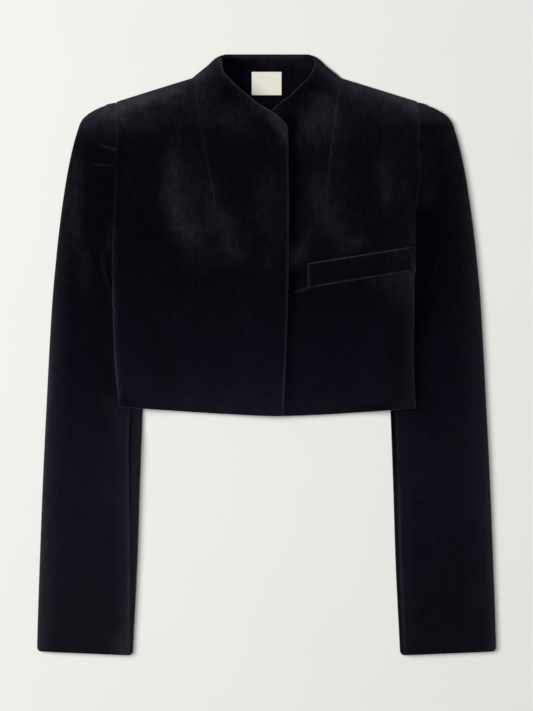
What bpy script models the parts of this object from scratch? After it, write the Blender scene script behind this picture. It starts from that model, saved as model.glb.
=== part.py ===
"""A cropped velvet jacket laid flat on its back, front up.

Each cut piece is a cloth wall worked out from level sections. A section is named by its drop,
the distance below the top edge of the collar. X runs across the jacket, from the wearer's right
at minus to the wearer's left at plus. Y runs towards the collar, and Z up from the surface that
the jacket lies on. Sizes are in millimetres until a mesh is made.
"""

from collections import namedtuple
from math import cos, hypot, pi, radians, sin, sqrt

import bmesh
import bpy
import numpy as np
from mathutils import Vector
from mathutils.bvhtree import BVHTree

MM = 0.001

# Driving sizes
OVERALL_LENGTH = 764.0
CLOTH = 2.0
SEAM_GAP = 0.3
ARMHOLE_GAP = 0.45
NECK_POINT = 31.0
SHOULDER_END = 61.0
UNDERARM = 268.0
HEM_SIDE = 448.0
HEM_LOWEST = 460.0
HEM_LOWEST_X = 10.0
HEM_RISE = 12.0
HEM_RISE_WIDTH = 198.0
CUFF_OUTER = 759.0

# The body stays hollow between front and back, and rides up over the sleeves at its sides
ARMHOLE_LOFT = 7.0
EDGE_ROLL = 60.0
SLEEVE_LIFT = 7.6
LIFT_BELOW_UNDERARM = 28.0
LIFT_SLOPE_WIDTH = 44.0
LIFT_MARGIN = 4.0

# The lap of the right front over the left
UNDERLAP = 12.0
LAP_STEP = CLOTH + SEAM_GAP
LAP_RAMP_START = 40.0
LAP_RAMP_END = 16.0

# The stand collar's edge rises along the neckline
NECK_STAND = 3.5
NECK_STAND_WIDTH = 26.0
NECK_STAND_FULL = 40.0
NECK_STAND_END = 68.0

# Neck darts
DART_TOP = 36.0
DART_END = 190.0
DART_DEPTH = 1.0
DART_HALF_WIDTH = 6.0

# Sleeve tubes
OUTER_FOLD = 25.0
INNER_FOLD = 10.0
UNDER_FOLD = 5.0
OUTER_FOLD_RISE = 2.5
INNER_FOLD_RISE = 1.2
BACK_SEAM_INSET = 26.0
TUCK_START = 300.0
TUCK_END = 400.0
TUCKED_LOFT = 3.0
TUCK_FADE = 32.0
TUCK_CLEAR = 3.0
UNDERARM_GAP = 2.5

# Pocket welt on the left front, and the neck label
WELT_INNER_X = 52.0
WELT_SIDE_INSET = 3.0
WELT_TOP_DROPS = (266.0, 245.0)
WELT_FOOT_DROPS = (297.0, 275.5)
WELT_THICKNESS = 1.6
WELT_GAP = 0.45
LABEL_WIDTH = 38.0
LABEL_HEIGHT = 29.5
LABEL_DROP = 22.0
LABEL_THICKNESS = 1.0

# Where the body's outer edge, shoulder, armhole and side seam lie, from the centre line
BodyEdge = namedtuple("BodyEdge", "drop right left")
BODY_EDGE = (
    BodyEdge(0, 50, 50),
    BodyEdge(2, 57, 57),
    BodyEdge(5, 64, 64),
    BodyEdge(15, 76, 76),
    BodyEdge(NECK_POINT, 96, 96),
    BodyEdge(SHOULDER_END, 192, 193),
    BodyEdge(89, 191.5, 194),
    BodyEdge(117, 191, 194.8),
    BodyEdge(150, 192, 195),
    BodyEdge(180, 193.5, 193),
    BodyEdge(196, 194.2, 190.2),
    BodyEdge(227, 195.7, 189.5),
    BodyEdge(UNDERARM, 196.9, 189.5),
    BodyEdge(287, 196.5, 187.8),
    BodyEdge(318, 195.4, 187.7),
    BodyEdge(363, 194.2, 187),
    BodyEdge(409, 191.5, 187.4),
    BodyEdge(HEM_SIDE, 188, 190),
)

# How far each front reaches past the centre line, along its neckline and then its front edge
FrontEdge = namedtuple("FrontEdge", "drop right left")
FRONT_EDGE = (
    FrontEdge(4, -57.5, -59),
    FrontEdge(13, -56.5, -61),
    FrontEdge(22, -54, -57.7),
    FrontEdge(36, -42.5, -48),
    FrontEdge(54, -22, -28.5),
    FrontEdge(63, -11, -16.5),
    FrontEdge(76, 10, 0),
    FrontEdge(85, 20.5, 9),
    FrontEdge(93, 26.5, UNDERLAP),
    FrontEdge(107, 27.3, UNDERLAP),
    FrontEdge(206, 28, UNDERLAP),
    FrontEdge(307, 26.9, UNDERLAP),
    FrontEdge(348, 25.9, UNDERLAP),
    FrontEdge(389, 24.4, UNDERLAP),
    FrontEdge(HEM_LOWEST, 21.5, UNDERLAP),
)

# Hollow between back and front along the body's middle, and the dart's distance from the centre
BodyLine = namedtuple("BodyLine", "drop loft dart")
BODY_LINE = (
    BodyLine(0, 3, 94),
    BodyLine(NECK_POINT, 6, 91.5),
    BodyLine(85, 10, 86),
    BodyLine(121, 12, 78.5),
    BodyLine(156, 13, 72),
    BodyLine(190, 13, 66),
    BodyLine(235, 12.5, 63),
    BodyLine(300, 10, 63),
    BodyLine(380, 8, 63),
    BodyLine(HEM_LOWEST, 7.5, 63),
)

# Soft ridges where the chest stands up from the back, each along a line from one end to the other
Ridge = namedtuple("Ridge", "x drop end_x end_drop half_width height")
CHEST_RIDGES = (
    Ridge(-123, 133, -111, 213, 20, 2.2),
    Ridge(-111, 213, -81, 254, 20, 2.0),
    Ridge(-63, 198, -43, 240, 18, 2.0),
    Ridge(79, 190, 84, 228, 20, 2.0),
    Ridge(150, 128, 150, 186, 20, 1.5),
)

# Sleeve outlines from the centre line, and the hollow inside the sleeve
SleeveLine = namedtuple("SleeveLine", "drop right left loft")
SLEEVE_LINE = (
    SleeveLine(61, 192, 192, 1),
    SleeveLine(66, 208.8, 208, 3),
    SleeveLine(71, 219.6, 218.5, 4.5),
    SleeveLine(76, 227.6, 226.5, 5.5),
    SleeveLine(81, 233.2, 232, 6.3),
    SleeveLine(86, 236.7, 235.5, 7),
    SleeveLine(97, 240.7, 239.5, 8),
    SleeveLine(116, 246.2, 245, 9),
    SleeveLine(154, 254.2, 253, 10),
    SleeveLine(192, 260.1, 259, 10),
    SleeveLine(230, 264.9, 264, 10),
    SleeveLine(UNDERARM, 268.8, 268, 10),
    SleeveLine(306, 272.2, 271.5, 10),
    SleeveLine(363, 275.9, 275, 10),
    SleeveLine(440, 279.9, 279, 9.5),
    SleeveLine(541, 284.8, 284, 9),
    SleeveLine(643, 288.6, 288, 8.5),
    SleeveLine(745, 291.7, 291.5, 7.5),
    SleeveLine(OVERALL_LENGTH, 292, 292, 7.2),
)

# Inner edge of the sleeve tube, and how far its under piece folds round to the front seam
TubeLine = namedtuple("TubeLine", "drop inner wrap_right wrap_left")
TUBE_LINE = (
    TubeLine(UNDERARM, 150, 3, 3),
    TubeLine(HEM_LOWEST, 158, 17, 7.5),
    TubeLine(541, 161, 13, 6.3),
    TubeLine(643, 164.5, 7, 6.3),
    TubeLine(OVERALL_LENGTH, 170.5, 2.4, 6.3),
)

# Sections that the meshes have, as stretches from one drop to the next with a number of steps
BODY_STRETCHES = (
    (NECK_POINT, 4),
    (SHOULDER_END, 4),
    (UNDERARM, 11),
    (UNDERARM + LIFT_BELOW_UNDERARM + 4, 4),
    (HEM_SIDE, 7),
)
BACK_TOP = 0.0
FRONT_TOP = 4.0
SLEEVE_TOP = 64.0
SLEEVE_HEAD = 61.5
HEAD_TILT_END = 80.0
SLEEVE_STRETCHES = (
    (97.0, 6),
    (UNDERARM, 9),
    (UNDERARM + LIFT_BELOW_UNDERARM + 4, 4),
    (HEM_SIDE, 7),
    (500.0, 3),
    (745.0, 8),
    (OVERALL_LENGTH, 3),
)
SIDE_COLUMNS = (40.0, 28.0, 18.0, 9.0, 3.5, 0.0)
FOLD_ANGLES = (65, 40, 18, 0)

VELVET_BLACK = (0.0045, 0.004, 0.007)
LABEL_CREAM = (0.78, 0.76, 0.68)


def read(table, column, drop):
    """The table's value in that column at that drop, straight between its rows."""
    return float(np.interp(drop, [row.drop for row in table], [getattr(row, column) for row in table]))


def ease(value, start, end):
    """0 up to start, 1 from end on, with a soft S between."""
    share = min(1.0, max(0.0, (value - start) / (end - start)))
    return share * share * (3 - 2 * share)


def rounding(distance, radius):
    """The rise of a quarter circle, 0 at its edge and 1 from the radius on."""
    share = 1 - min(1.0, max(0.0, distance / radius))
    return sqrt(1 - share * share)


def sections(top, stretches):
    drops = [top]
    for end, steps in stretches:
        drops += list(np.linspace(drops[-1], end, steps + 1)[1:])
    return drops


def place(x, drop, z):
    return Vector((x * MM, (OVERALL_LENGTH / 2 - drop) * MM, z * MM))


# The body's hollow, worked out at any point

def side_name(x):
    return "right" if x < 0 else "left"


def sleeve_inner(side, drop):
    """The sleeve tube's inner edge: beside the body at the underarm, then tucked in under it."""
    beside = read(BODY_EDGE, side, drop) + UNDERARM_GAP
    tucked = read(TUBE_LINE, "inner", drop) + CLOTH
    return beside + (tucked - beside) * ease(drop, TUCK_START, TUCK_END)


def back_inside(x, drop):
    """Height of the back's inner face: on the floor, and lifted where a sleeve lies under it."""
    lift = SLEEVE_LIFT * ease(drop, UNDERARM + 2, UNDERARM + LIFT_BELOW_UNDERARM)
    lifted_from = sleeve_inner(side_name(x), drop) - LIFT_MARGIN
    return CLOTH + lift * ease(abs(x), lifted_from - LIFT_SLOPE_WIDTH, lifted_from)


def armhole_loft(drop):
    """Hollow at the body's outer edge: a lens along the armhole, closed at shoulder and side seams."""
    along = (drop - SHOULDER_END) / (UNDERARM - SHOULDER_END)
    if not 0 < along < 1:
        return SEAM_GAP
    return SEAM_GAP + ARMHOLE_LOFT * sin(pi * along)


def dart_trough(x, drop):
    reach = ease(drop, DART_TOP - 12, DART_TOP) * (1 - ease(drop, DART_END - 40, DART_END))
    across = abs(abs(x) - read(BODY_LINE, "dart", drop))
    return DART_DEPTH * reach * (1 - ease(across, 0, DART_HALF_WIDTH))


def chest_rise(x, drop):
    """How far the ridges lift a front at that point: the highest one counts."""
    rise = 0.0
    for ridge in CHEST_RIDGES:
        run_x = ridge.end_x - ridge.x
        run_drop = ridge.end_drop - ridge.drop
        along = ((x - ridge.x) * run_x + (drop - ridge.drop) * run_drop) / (run_x ** 2 + run_drop ** 2)
        along = min(1.0, max(0.0, along))
        away = hypot(x - ridge.x - along * run_x, drop - ridge.drop - along * run_drop)
        rise = max(rise, ridge.height * (1 - ease(away, 0, 2 * ridge.half_width)))
    return rise


def neck_rise(x, drop):
    """How far the neckline's edge stands up, fading out towards the lap."""
    away = abs(x) + read(FRONT_EDGE, side_name(x), drop)
    fading = 1 - ease(drop, NECK_STAND_FULL, NECK_STAND_END)
    return NECK_STAND * fading * (1 - ease(away, 0, NECK_STAND_WIDTH))


def front_inside(x, drop):
    """Height of a front's inner face above the floor."""
    edge = armhole_loft(drop)
    inset = read(BODY_EDGE, side_name(x), drop) - abs(x)
    roll = sin(pi / 2 * min(1.0, max(0.0, inset / EDGE_ROLL))) ** 0.9
    loft = edge + (read(BODY_LINE, "loft", drop) + neck_rise(x, drop) - edge) * roll
    return back_inside(x, drop) + max(SEAM_GAP, loft + chest_rise(x, drop) - dart_trough(x, drop))


def hem_drop(x, drop):
    """Sections near the hem bend to follow its curve."""
    hem = HEM_LOWEST - HEM_RISE * (abs(x - HEM_LOWEST_X) / HEM_RISE_WIDTH) ** 1.4
    return drop + (hem - HEM_SIDE) * ease(drop, 330, HEM_SIDE)


# Meshes and materials

def material(name, colour, roughness):
    made = bpy.data.materials.new(name)
    made.use_nodes = True
    shader = made.node_tree.nodes["Principled BSDF"]
    shader.inputs["Base Color"].default_value = (*colour, 1)
    shader.inputs["Roughness"].default_value = roughness
    shader.inputs["Metallic"].default_value = 0
    return made


def grid_object(name, rows, look):
    """An open surface through rows of points, all with the same number of points."""
    shape = bmesh.new()
    verts = [[shape.verts.new(point) for point in row] for row in rows]
    for upper, lower in zip(verts, verts[1:]):
        for a, b, c, d in zip(upper, upper[1:], lower[1:], lower):
            shape.faces.new((a, d, c, b))
    mesh = bpy.data.meshes.new(name)
    shape.to_mesh(mesh)
    shape.free()
    made = bpy.data.objects.new(name, mesh)
    made.data.materials.append(look)
    made.parent = jacket
    parts.objects.link(made)
    return made


def raise_wall(made, thickness):
    """Gives an open surface that height as a wall: up for a positive thickness, down for a negative one."""
    shape = bmesh.new()
    shape.from_mesh(made.data)
    grown = bmesh.ops.extrude_face_region(shape, geom=shape.faces[:])
    moved = [item for item in grown["geom"] if isinstance(item, bmesh.types.BMVert)]
    bmesh.ops.translate(shape, verts=moved, vec=(0, 0, thickness * MM))
    bmesh.ops.recalc_face_normals(shape, faces=shape.faces[:])
    shape.to_mesh(made.data)
    shape.free()
    made.data.shade_smooth()


def wrap_wall(made):
    """Gives a tube's inner surface its cloth outwards."""
    wall = made.modifiers.new("cloth", "SOLIDIFY")
    wall.thickness = CLOTH * MM
    wall.offset = 1
    wall.use_even_offset = False
    made.data.shade_smooth()


# Back, with the back of the stand collar

def make_back():
    rows = []
    for drop in sections(BACK_TOP, BODY_STRETCHES):
        halves = {}
        for side, sign in SIDES.items():
            edge = read(BODY_EDGE, side, drop)
            margin = min(1.0, edge / 100)
            turns = [edge - inset * margin for inset in SIDE_COLUMNS]
            middle = list(np.linspace(0, turns[0], 7)[:-1])
            halves[side] = [sign * x for x in middle + turns]
        across = halves["right"][:0:-1] + halves["left"]
        rows.append([place(x, hem_drop(x, drop), back_inside(x, drop)) for x in across])
    made = grid_object("back", rows, velvet)
    raise_wall(made, -CLOTH)


# Fronts, each with its half of the stand collar

def front_columns(side, drop, reach):
    """Distances from the centre line: the front's edge, then the dart, then the side."""
    edge = read(BODY_EDGE, side, drop)
    width = edge + reach
    dart = read(BODY_LINE, "dart", drop)
    dart = min(edge - 0.25 * width, max(0.3 * width - reach, dart))
    trough = min(DART_HALF_WIDTH, 0.05 * width)
    margin = min(1.0, width / 220)
    turns = [edge - inset * margin for inset in SIDE_COLUMNS]
    inner = list(np.linspace(-reach, dart - trough, 7))
    outer = list(np.linspace(dart + trough, turns[0], 4)[:-1])
    return inner + [dart] + outer + turns


def make_front(side, sign, lap):
    rows = []
    for drop in sections(FRONT_TOP, BODY_STRETCHES):
        reach = read(FRONT_EDGE, side, drop)
        row = []
        for distance in front_columns(side, drop, reach):
            x = sign * distance
            raised = LAP_STEP * ease(x, -LAP_RAMP_START, -LAP_RAMP_END) if lap else 0
            row.append(place(x, hem_drop(x, drop), front_inside(x, drop) + raised))
        rows.append(row)
    made = grid_object("front_" + side, rows, velvet)
    raise_wall(made, CLOTH)
    return made


# Sleeves: closed tubes below the underarm, open to the armhole above it

def sleeve_section(side, drop):
    """The inner face of the sleeve at that drop: limits, and its height above and below."""
    seam = read(BODY_EDGE, side, drop)
    outer = read(SLEEVE_LINE, side, drop) - CLOTH
    opened = drop <= UNDERARM + 0.001
    if opened:
        inner = seam + (ARMHOLE_GAP if drop < UNDERARM - 5 else UNDERARM_GAP)
    else:
        inner = sleeve_inner(side, drop)
    width = outer - inner
    fold = min(OUTER_FOLD, 0.6 * width)
    loft = read(SLEEVE_LINE, "loft", drop)
    tucked = ease(drop, UNDERARM, TUCK_START) * (1 - ease(drop, HEM_LOWEST + 2, 500))

    def hollow(x):
        if opened:
            return armhole_loft(drop) + (loft - armhole_loft(drop)) * ease(x, inner, inner + 0.4 * width)
        under_body = 1 - ease(x, seam + TUCK_CLEAR, seam + TUCK_CLEAR + TUCK_FADE)
        return loft + (TUCKED_LOFT - loft) * tucked * under_body

    def turned_up(x):
        share = (x - inner) / width
        return INNER_FOLD_RISE + (OUTER_FOLD_RISE - INNER_FOLD_RISE) * share

    def above(x):
        round_inner = 1 if opened else rounding(x - inner, INNER_FOLD)
        level = rounding(outer - x, fold) * round_inner
        start = turned_up(x) * min(1.0, width / OUTER_FOLD)
        return CLOTH + start + (hollow(x) - start) * level

    def below(x):
        round_inner = 1 if opened else rounding(x - inner, UNDER_FOLD)
        level = rounding(outer - x, min(UNDER_FOLD, 0.2 * width)) * round_inner
        start = turned_up(x) * min(1.0, width / OUTER_FOLD)
        return CLOTH + start * (1 - level)

    return inner, outer, fold, opened, above, below


def tilted_drop(x, drop, inner, outer):
    """Sections near the cuff tilt with it, outer corner up, and near the sleeve head with the shoulder."""
    share = (x - inner) / (outer - inner)
    cuff = (CUFF_OUTER - OVERALL_LENGTH) * share * ease(drop, 600, OVERALL_LENGTH)
    head = (SLEEVE_HEAD - SLEEVE_TOP) * (1 - share) * (1 - ease(drop, SLEEVE_TOP, HEAD_TILT_END))
    return drop + cuff + head


def sleeve_point(sign, x, drop, z, inner, outer):
    return place(sign * x, tilted_drop(x, drop, inner, outer), z)


def make_sleeve(side, sign):
    upper_rows = []
    under_rows = []
    for drop in sections(SLEEVE_TOP, SLEEVE_STRETCHES):
        inner, outer, fold, opened, above, below = sleeve_section(side, drop)
        width = outer - inner
        wrap = read(TUBE_LINE, "wrap_" + side, drop)
        inset = min(BACK_SEAM_INSET, 0.4 * width)
        turn = min(UNDER_FOLD, 0.2 * width)

        start = inner if opened else inner + wrap
        over = [(x, above(x)) for x in np.linspace(start, outer - fold, 7)]
        over += [(x, above(x)) for x in (outer - fold * (1 - cos(radians(a))) for a in FOLD_ANGLES)]
        over += [(x, below(x)) for x in (outer - 0.3 * turn, outer - turn, outer - inset)]
        upper_rows.append([sleeve_point(sign, x, drop, z, inner, outer) for x, z in over])

        seam = outer - inset - SEAM_GAP
        if opened:
            under = [(x, below(x)) for x in np.linspace(seam, inner, 11)]
        else:
            under = [(x, below(x)) for x in np.linspace(seam, inner + UNDER_FOLD, 6)]
            under += [(inner + 0.3 * UNDER_FOLD, below(inner + 0.3 * UNDER_FOLD)), (inner, below(inner))]
            under += [(inner + share * (wrap - SEAM_GAP), above(inner + share * (wrap - SEAM_GAP)))
                      for share in (0.12, 0.45, 1.0)]
        under_rows.append([sleeve_point(sign, x, drop, z, inner, outer) for x, z in under])
    for name, rows in (("upper_sleeve_", upper_rows), ("under_sleeve_", under_rows)):
        ordered = [row[::-1] for row in rows] if sign < 0 else rows
        wrap_wall(grid_object(name + side, ordered, velvet))


# Welt and label, laid on the panels that carry them

def make_welt(carrier):
    shape = bmesh.new()
    shape.from_mesh(carrier.data)
    panel = BVHTree.FromBMesh(shape)
    rows = []
    for down in np.linspace(0, 1, 5):
        row = []
        for along in np.linspace(0, 1, 19):
            top = np.interp(along, (0, 1), WELT_TOP_DROPS)
            foot = np.interp(along, (0, 1), WELT_FOOT_DROPS)
            drop = top + (foot - top) * down
            outer_x = read(BODY_EDGE, "left", drop) - WELT_SIDE_INSET
            over = place(WELT_INNER_X + (outer_x - WELT_INNER_X) * along, drop, 200)
            face = panel.ray_cast(over, Vector((0, 0, -1)))[0]
            row.append(face + Vector((0, 0, WELT_GAP * MM)))
        rows.append(row)
    shape.free()
    raise_wall(grid_object("welt", rows, velvet), WELT_THICKNESS)


def make_label():
    rows = []
    for drop in (LABEL_DROP, LABEL_DROP + LABEL_HEIGHT):
        row = [place(x, drop, CLOTH + SEAM_GAP) for x in (-LABEL_WIDTH / 2, LABEL_WIDTH / 2)]
        rows.append(row)
    raise_wall(grid_object("label", rows, cream), LABEL_THICKNESS)


for old in list(bpy.data.objects):
    bpy.data.objects.remove(old)

SIDES = {"right": -1, "left": 1}
parts = bpy.data.collections.new("cropped_velvet_jacket")
bpy.context.scene.collection.children.link(parts)
jacket = bpy.data.objects.new("jacket", None)
parts.objects.link(jacket)
velvet = material("black_velvet", VELVET_BLACK, 0.85)
cream = material("label_cream", LABEL_CREAM, 0.75)

make_back()
front_left = make_front("left", SIDES["left"], lap=False)
make_front("right", SIDES["right"], lap=True)
for side, sign in SIDES.items():
    make_sleeve(side, sign)
make_welt(front_left)
make_label()
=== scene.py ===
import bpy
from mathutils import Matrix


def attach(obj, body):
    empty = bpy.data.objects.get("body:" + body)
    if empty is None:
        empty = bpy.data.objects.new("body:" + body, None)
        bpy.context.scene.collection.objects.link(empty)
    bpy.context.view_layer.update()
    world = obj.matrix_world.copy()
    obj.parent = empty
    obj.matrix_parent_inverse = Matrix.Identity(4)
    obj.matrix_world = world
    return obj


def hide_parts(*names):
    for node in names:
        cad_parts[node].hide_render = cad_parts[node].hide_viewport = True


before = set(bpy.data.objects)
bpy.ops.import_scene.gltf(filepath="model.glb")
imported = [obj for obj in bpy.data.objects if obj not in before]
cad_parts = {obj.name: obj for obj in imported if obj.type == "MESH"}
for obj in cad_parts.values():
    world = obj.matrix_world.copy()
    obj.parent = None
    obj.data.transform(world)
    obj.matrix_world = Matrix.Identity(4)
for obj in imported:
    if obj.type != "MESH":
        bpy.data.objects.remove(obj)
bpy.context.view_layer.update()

from collections import namedtuple

import bpy
import numpy as np
from mathutils import Vector


# The board under the jacket: smooth, matt, off-white paint, wide enough to fill the view.
# A large soft box stands to the left of it and a smaller one hangs above, in a pale room, and the
# camera looks straight down on it from almost four metres.

class Wire:
    """A socket of a node tree. Sums and products of it add their Math nodes."""

    def __init__(self, tree, socket=None):
        self.tree = tree
        self.socket = socket

    def node(self, kind, settings, sockets, output=0):
        made = self.tree.nodes.new(kind)
        for name, value in settings.items():
            setattr(made, name, value)
        for name, value in sockets.items():
            if isinstance(value, Wire):
                self.tree.links.new(value.socket, made.inputs[name])
            else:
                made.inputs[name].default_value = value
        return Wire(self.tree, made.outputs[output])

    def math(self, operation, first, second):
        return self.node("ShaderNodeMath", {"operation": operation}, {0: first, 1: second})

    def __add__(self, other):
        return self.math("ADD", self, other)

    def __sub__(self, other):
        return self.math("SUBTRACT", self, other)

    def __rsub__(self, other):
        return self.math("SUBTRACT", other, self)

    def __mul__(self, other):
        return self.math("MULTIPLY", self, other)

    __radd__ = __add__
    __rmul__ = __mul__


def new_look(name):
    """A material with a plain Principled shader, and a wire to build its nodes with."""
    look = bpy.data.materials.new(name)
    look.use_nodes = True
    return look, Wire(look.node_tree)


def set_shader(look, **sockets):
    """Sets or links the shader's sockets. Their names are written with underscores."""
    shader = look.node_tree.nodes["Principled BSDF"]
    for name, value in sockets.items():
        socket = shader.inputs[name.replace("_", " ")]
        if isinstance(value, Wire):
            look.node_tree.links.new(value.socket, socket)
        else:
            socket.default_value = value


def mixed(wire, share, first, second):
    """A colour between two others, by a share from 0 to 1."""
    return wire.node("ShaderNodeMix", {"data_type": "RGBA"}, {0: share, 6: first, 7: second}, 2)


def noise(place, **sockets):
    """A soft noise over the places of a surface, from 0 to 1."""
    return place.node("ShaderNodeTexNoise", {}, {"Vector": place, **sockets}, "Fac")


def bumped(height, strength, distance):
    """The surface's normal, tilted by a fine relief."""
    return height.node("ShaderNodeBump", {}, {"Strength": strength, "Distance": distance, "Height": height})


BOARD_SIZE = 16.0
BOARD_BELOW = 0.0004
BOARD_LIGHT = (0.845, 0.845, 0.822, 1)
BOARD_DEEP = (0.82, 0.82, 0.797, 1)

bpy.ops.object.select_all(action="DESELECT")
bpy.ops.mesh.primitive_plane_add(size=BOARD_SIZE, location=(0, 0, -BOARD_BELOW))
board = bpy.context.object
board.name = "board"
bpy.ops.object.transform_apply(location=True, rotation=True, scale=True)
paint, wire = new_look("matt_white_paint")
place = wire.node("ShaderNodeTexCoord", {}, {}, "Object")
rolled = noise(place, Scale=6.0, Detail=4.0)
grain = noise(place, Scale=900.0, Detail=2.0)
set_shader(paint, Base_Color=mixed(wire, rolled, BOARD_LIGHT, BOARD_DEEP), Roughness=0.9,
           Specular_IOR_Level=0.1, Normal=bumped(grain, strength=0.05, distance=0.0002))
board.data.materials.append(paint)

LAMP_COLOUR = (1.0, 0.99, 0.975)
ROOM_COLOUR = (0.98, 0.99, 1.0, 1)
ROOM_LIGHT = 0.06
CAMERA_PLACE = (-0.00025, -0.0009, 3.774)
CAMERA_LENS = 150.0
CAMERA_SENSOR = 36.0
CAMERA_REACH = 50.0


def soft_light(name, place, aim, size, watts):
    """A soft box: a large square of even light, turned towards a point."""
    turn = (Vector(aim) - Vector(place)).to_track_quat("-Z", "Y").to_euler()
    bpy.ops.object.light_add(type="AREA", location=place, rotation=turn)
    light = bpy.context.object
    light.name = name
    light.data.size = size
    light.data.energy = watts
    light.data.color = LAMP_COLOUR


soft_light("side_soft_box", place=(-3.5, 0.8, 4.3), aim=(-0.2, 0.1, 0.0), size=3.0, watts=248.0)
soft_light("ceiling_soft_box", place=(-0.4, 0.2, 4.6), aim=(-0.4, 0.2, 0.0), size=2.2, watts=89.0)

surround = bpy.data.worlds.new("pale_room")
surround.use_nodes = True
surround.node_tree.nodes["Background"].inputs["Color"].default_value = ROOM_COLOUR
surround.node_tree.nodes["Background"].inputs["Strength"].default_value = ROOM_LIGHT
bpy.context.scene.world = surround
bpy.context.scene.view_settings.view_transform = "Standard"

bpy.ops.object.camera_add(location=CAMERA_PLACE, rotation=(0, 0, 0))
overhead = bpy.context.object
overhead.name = "overhead"
overhead.data.lens = CAMERA_LENS
overhead.data.sensor_width = CAMERA_SENSOR
overhead.data.clip_end = CAMERA_REACH
bpy.context.scene.camera = overhead


# The back: one piece of black velvet from hem to collar, with the back of the stand collar cut on.
# It lies flat on the board, its sides ride up over the tucked sleeves, and only its inside shows,
# in the neck.

MM = 0.001  # sizes are in millimetres: x from the middle, drop from the collar's edge, height from the board
COLLAR_Y = 382.0
CLOTH = 2.0
TURNED_EDGE = CLOTH / 2
SEAM_GAP = 0.3
UNDERARM = 268.0
SHOULDER_END = 61.0
NECK_POINT = 31.0
HEM_SIDE = 448.0
HEM_LOWEST = 460.0
SIDES = {"right": -1, "left": 1}


class Measured:
    """A smooth line through stations of drop and distance, which never swings past them."""

    def __init__(self, *stations):
        self.drops, self.values = np.array(stations, float).T
        rises = np.diff(self.values) / np.diff(self.drops)
        self.slopes = np.concatenate((rises[:1], np.zeros(len(rises) - 1), rises[-1:]))
        for n, (before, after) in enumerate(zip(rises, rises[1:]), 1):
            if before * after > 0:
                self.slopes[n] = 2 * before * after / (before + after)

    def __call__(self, drop):
        drop = np.clip(drop, self.drops[0], self.drops[-1])
        n = np.clip(np.searchsorted(self.drops, drop, side="right") - 1, 0, len(self.drops) - 2)
        span = self.drops[n + 1] - self.drops[n]
        t = (drop - self.drops[n]) / span
        start, end = self.values[n], self.values[n + 1]
        bow = t * (1 - t) * span * ((1 - t) * self.slopes[n] - t * self.slopes[n + 1])
        return start + (end - start) * t * t * (3 - 2 * t) + bow


def ease(value, start, end):
    """0 up to start, 1 from end on, with a soft S between."""
    share = np.clip((value - start) / (end - start), 0, 1)
    return share * share * (3 - 2 * share)


def rounding(distance, radius):
    """The rise of a quarter circle, 0 at its edge and 1 from the radius on."""
    share = 1 - np.clip(distance / radius, 0, 1)
    return np.sqrt(1 - share * share)


COLLAR_SIDE = Measured((0, 50), (2, 57), (5, 64), (15, 76), (NECK_POINT, 96))
SHOULDER_SEAM = {
    "right": Measured((NECK_POINT, 96), (45.7, 143.4), (SHOULDER_END, 192)),
    "left": Measured((NECK_POINT, 96), (45.7, 143.4), (SHOULDER_END, 193)),
}
ARMHOLE_AND_SIDE = {
    "right": Measured((SHOULDER_END, 192), (117, 191), (150, 192.5), (180, 193.5), (227, 195.7),
                      (249, 196.7), (272, 196.9), (302, 195.9), (325, 195.1), (351, 194.8), (370, 193.9),
                      (404, 191.9), (433, 188.9), (HEM_SIDE, 188)),
    "left": Measured((SHOULDER_END, 193), (89, 194.1), (117, 194.8), (150, 195.2), (180, 192.9),
                     (196, 190.1), (211, 189.3), (UNDERARM, 189.6), (287, 187.6), (318, 187.7), (363, 187),
                     (409, 187.3), (HEM_SIDE, 190)),
}
SLEEVE_INNER = {
    "right": Measured((UNDERARM, 150), (HEM_LOWEST, 158), (541, 161), (643, 164.5), (764, 170.5)),
    "left": Measured((UNDERARM, 149.7), (HEM_LOWEST, 157.7), (541, 160.6), (643, 163.8), (764, 169.8)),
}
UNDERARM_GAP = 1.5
TUCK_DROPS = (UNDERARM + 18, 400.0)
SLEEVE_LIFT = 7.6
LIFT_DROPS = (UNDERARM + 12, UNDERARM + 48)
LIFT_INSET = 4.0
LIFT_SLOPE = 44.0
HEM_MIDDLE = 10.0
HEM_HALF = 198.0
HEM_BOW = {"right": 1.25, "left": 1.45}
HEM_BENDS_FROM = 330.0


def body_edge(side, drop):
    """How far the body reaches out to a side: the collar, the shoulder seam, the armhole, the side seam."""
    upper = np.where(drop < NECK_POINT, COLLAR_SIDE(drop), SHOULDER_SEAM[side](drop))
    return np.where(drop < SHOULDER_END, upper, ARMHOLE_AND_SIDE[side](drop))


def sleeve_inner(side, drop):
    """The sleeve's inner edge: beside the body at the underarm, then tucked in under it."""
    beside = body_edge(side, drop) + UNDERARM_GAP
    return beside + (SLEEVE_INNER[side](drop) + CLOTH - beside) * ease(drop, *TUCK_DROPS)


def by_side(line, x, drop):
    """A line's distance, on whichever side x lies."""
    return np.where(x < 0, line("right", drop), line("left", drop))


def back_inside(x, drop):
    """Height of the back's inner face: on the board, and lifted where a sleeve lies under it."""
    lift = SLEEVE_LIFT * ease(drop, *LIFT_DROPS)
    lifted_from = by_side(sleeve_inner, x, drop) - LIFT_INSET
    return CLOTH + lift * ease(np.abs(x), lifted_from - LIFT_SLOPE, lifted_from)


def hem_drop(x, drop):
    """Sections near the hem bend to follow its curve."""
    bow = np.where(x < HEM_MIDDLE, HEM_BOW["right"], HEM_BOW["left"])
    hem = HEM_LOWEST - (HEM_LOWEST - HEM_SIDE) * (np.abs(x - HEM_MIDDLE) / HEM_HALF) ** bow
    return drop + (hem - HEM_SIDE) * ease(drop, HEM_BENDS_FROM, HEM_SIDE)


def points_at(x, drop, height):
    """Points in space, from places on the cloth and heights above the board."""
    return np.stack(np.broadcast_arrays(x, COLLAR_Y - drop, height), axis=-1)


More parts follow.
